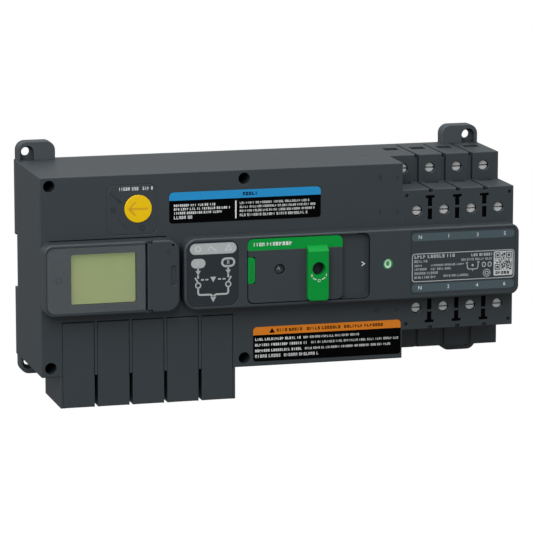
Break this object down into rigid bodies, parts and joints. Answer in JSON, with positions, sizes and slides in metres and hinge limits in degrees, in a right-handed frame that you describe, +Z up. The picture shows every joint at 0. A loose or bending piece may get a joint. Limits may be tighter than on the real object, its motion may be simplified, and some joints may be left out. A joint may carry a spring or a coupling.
{
  "type": "automatic transfer switch",
  "caption": "Modular automatic transfer switch with display, sliding mode cover, tool-operated shaft, stepped power terminals, hinged cable covers and rail mounting.",
  "frame": {"origin": "centre of the four ear holes, on the mounting plane at the back", "axes": "+X to the right as the user faces the front, +Y into the wall, +Z up"},
  "size_m": [0.306, 0.0965, 0.1569],
  "materials": {
    "dark_housing": "fine spark-eroded polycarbonate moulding",
    "base_plastic": "fine textured moulding",
    "smoked_window": "smoked clear polycarbonate",
    "display": "yellow-green liquid crystal glass",
    "green_plastic": "satin green moulding",
    "yellow_plastic": "satin yellow moulding",
    "clear_lens": "clear polycarbonate",
    "print_film": "screen printed polyester film",
    "notice_film": "blue and black printed film",
    "warning_film": "orange and black printed film",
    "zinc_steel": "bright zinc plated steel",
    "copper": "tin-flashed copper",
    "board": "green solder mask laminate",
    "component": "black epoxy and nylon",
    "acetal": "natural acetal moulding",
    "rubber_key": "silicone rubber",
    "terminal_green": "green polyamide"
  },
  "bodies": {
    "case": {"rear_base": "base_plastic", "controller_housing": "dark_housing", "cable_shroud": "dark_housing", "cover_hinge_pins": "zinc_steel", "control_terminal_blocks": "terminal_green", "control_terminal_screws": "zinc_steel", "housing_screws": "zinc_steel", "hmi_bezel": "dark_housing", "hmi_window": "smoked_window", "lcd_glass": "display", "hmi_board": "board", "door_hinge_pin": "zinc_steel", "selector_switch": "component", "nose_cover": "dark_housing", "mimic_panel": "print_film", "indicator_window": "clear_lens", "rating_plate": "print_film", "notice_label": "notice_film", "warning_label": "warning_film", "mechanism_frame": "zinc_steel", "drive_motor": "component", "switch_front_housing": "dark_housing", "switch_rear_housing": "dark_housing", "source_one_screws": "zinc_steel", "source_two_screws": "zinc_steel", "load_screws": "zinc_steel", "source_one_cages": "zinc_steel", "source_two_cages": "zinc_steel", "load_cages": "zinc_steel", "source_one_contacts": "copper", "source_two_contacts": "copper", "load_links": "copper", "arc_chutes": "zinc_steel", "main_board": "board", "relay_bank": "component", "transformer": "component"},
    "cable_cover_1": {"cable_cover_1": "dark_housing"},
    "cable_cover_2": {"cable_cover_2": "dark_housing"},
    "cable_cover_3": {"cable_cover_3": "dark_housing"},
    "cable_cover_4": {"cable_cover_4": "dark_housing"},
    "cable_cover_5": {"cable_cover_5": "dark_housing"},
    "rail_clip_left": {"rail_clip_left": "base_plastic"},
    "rail_clip_right": {"rail_clip_right": "base_plastic"},
    "settings_door": {"settings_door": "dark_housing"},
    "up_key": {"up_key": "rubber_key"},
    "enter_key": {"enter_key": "rubber_key"},
    "down_key": {"down_key": "rubber_key"},
    "selector_knob": {"selector_knob": "yellow_plastic"},
    "padlock_tab": {"padlock_tab": "green_plastic"},
    "motor_pinion": {"motor_pinion": "acetal"},
    "mode_slide": {"slide_cover": "dark_housing", "slide_header": "green_plastic", "dial_window": "clear_lens", "tool_guide": "green_plastic"},
    "operating_shaft": {"operating_shaft": "zinc_steel", "drive_gear": "acetal"},
    "indicator_slide": {"indicator_slide": "acetal", "indicator_flag": "green_plastic"},
    "contact_shaft": {"contact_shaft": "component", "moving_contacts": "copper"}
  },
  "joints": [
    {"name": "cable_cover_1_hinge", "type": "hinge", "parent": "case", "child": "cable_cover_1", "pos_m": [-0.12945, -0.078, -0.03], "axis": [-1, 0, 0], "range_deg": [0, 90]},
    {"name": "cable_cover_2_hinge", "type": "hinge", "parent": "case", "child": "cable_cover_2", "pos_m": [-0.10735, -0.078, -0.03], "axis": [-1, 0, 0], "range_deg": [0, 90]},
    {"name": "cable_cover_3_hinge", "type": "hinge", "parent": "case", "child": "cable_cover_3", "pos_m": [-0.08525, -0.078, -0.03], "axis": [-1, 0, 0], "range_deg": [0, 90]},
    {"name": "cable_cover_4_hinge", "type": "hinge", "parent": "case", "child": "cable_cover_4", "pos_m": [-0.06315, -0.078, -0.03], "axis": [-1, 0, 0], "range_deg": [0, 90]},
    {"name": "cable_cover_5_hinge", "type": "hinge", "parent": "case", "child": "cable_cover_5", "pos_m": [-0.04105, -0.078, -0.03], "axis": [-1, 0, 0], "range_deg": [0, 90]},
    {"name": "rail_clip_left_slide", "type": "slide", "parent": "case", "child": "rail_clip_left", "axis": [0, 0, -1], "range_m": [0, 0.004], "stiffness_N_per_m": 400},
    {"name": "rail_clip_right_slide", "type": "slide", "parent": "case", "child": "rail_clip_right", "axis": [0, 0, -1], "range_m": [0, 0.004], "stiffness_N_per_m": 400},
    {"name": "settings_door_hinge", "type": "hinge", "parent": "case", "child": "settings_door", "pos_m": [-0.0869, -0.0901, 0], "axis": [0, 0, -1], "range_deg": [0, 110]},
    {"name": "up_key_press", "type": "slide", "parent": "case", "child": "up_key", "axis": [0, 1, 0], "range_m": [0, 0.0009], "stiffness_N_per_m": 600},
    {"name": "enter_key_press", "type": "slide", "parent": "case", "child": "enter_key", "axis": [0, 1, 0], "range_m": [0, 0.0009], "stiffness_N_per_m": 600},
    {"name": "down_key_press", "type": "slide", "parent": "case", "child": "down_key", "axis": [0, 1, 0], "range_m": [0, 0.0009], "stiffness_N_per_m": 600},
    {"name": "selector_turn", "type": "hinge", "parent": "case", "child": "selector_knob", "pos_m": [-0.0912, -0.0795, 0.0408], "axis": [0, -1, 0], "range_deg": [0, 90]},
    {"name": "mode_slide_shift", "type": "slide", "parent": "case", "child": "mode_slide", "axis": [1, 0, 0], "range_m": [0, 0.012]},
    {"name": "padlock_tab_pull", "type": "slide", "parent": "mode_slide", "child": "padlock_tab", "axis": [0, -1, 0], "range_m": [0, 0.008]},
    {"name": "operating_shaft_turn", "type": "hinge", "parent": "case", "child": "operating_shaft", "pos_m": [0.032, -0.0795, 0.0008], "axis": [0, -1, 0], "range_deg": [-45, 45]},
    {"name": "motor_pinion_turn", "type": "hinge", "parent": "case", "child": "motor_pinion", "pos_m": [0.0104, -0.0795, 0.0008], "axis": [0, -1, 0], "range_deg": [-90, 90]},
    {"name": "indicator_slide_shift", "type": "slide", "parent": "case", "child": "indicator_slide", "axis": [1, 0, 0], "range_m": [-0.00707, 0.00707]},
    {"name": "contact_shaft_turn", "type": "hinge", "parent": "case", "child": "contact_shaft", "pos_m": [0.055, -0.0305, 0], "axis": [1, 0, 0], "range_deg": [-22, 22]}
  ],
  "couplings": [
    {"joint": "motor_pinion_turn", "follows": "operating_shaft_turn", "ratio": -2},
    {"joint": "indicator_slide_shift", "follows": "operating_shaft_turn", "m_per_rad": -0.009},
    {"joint": "contact_shaft_turn", "follows": "operating_shaft_turn", "ratio": 0.48889}
  ]
}
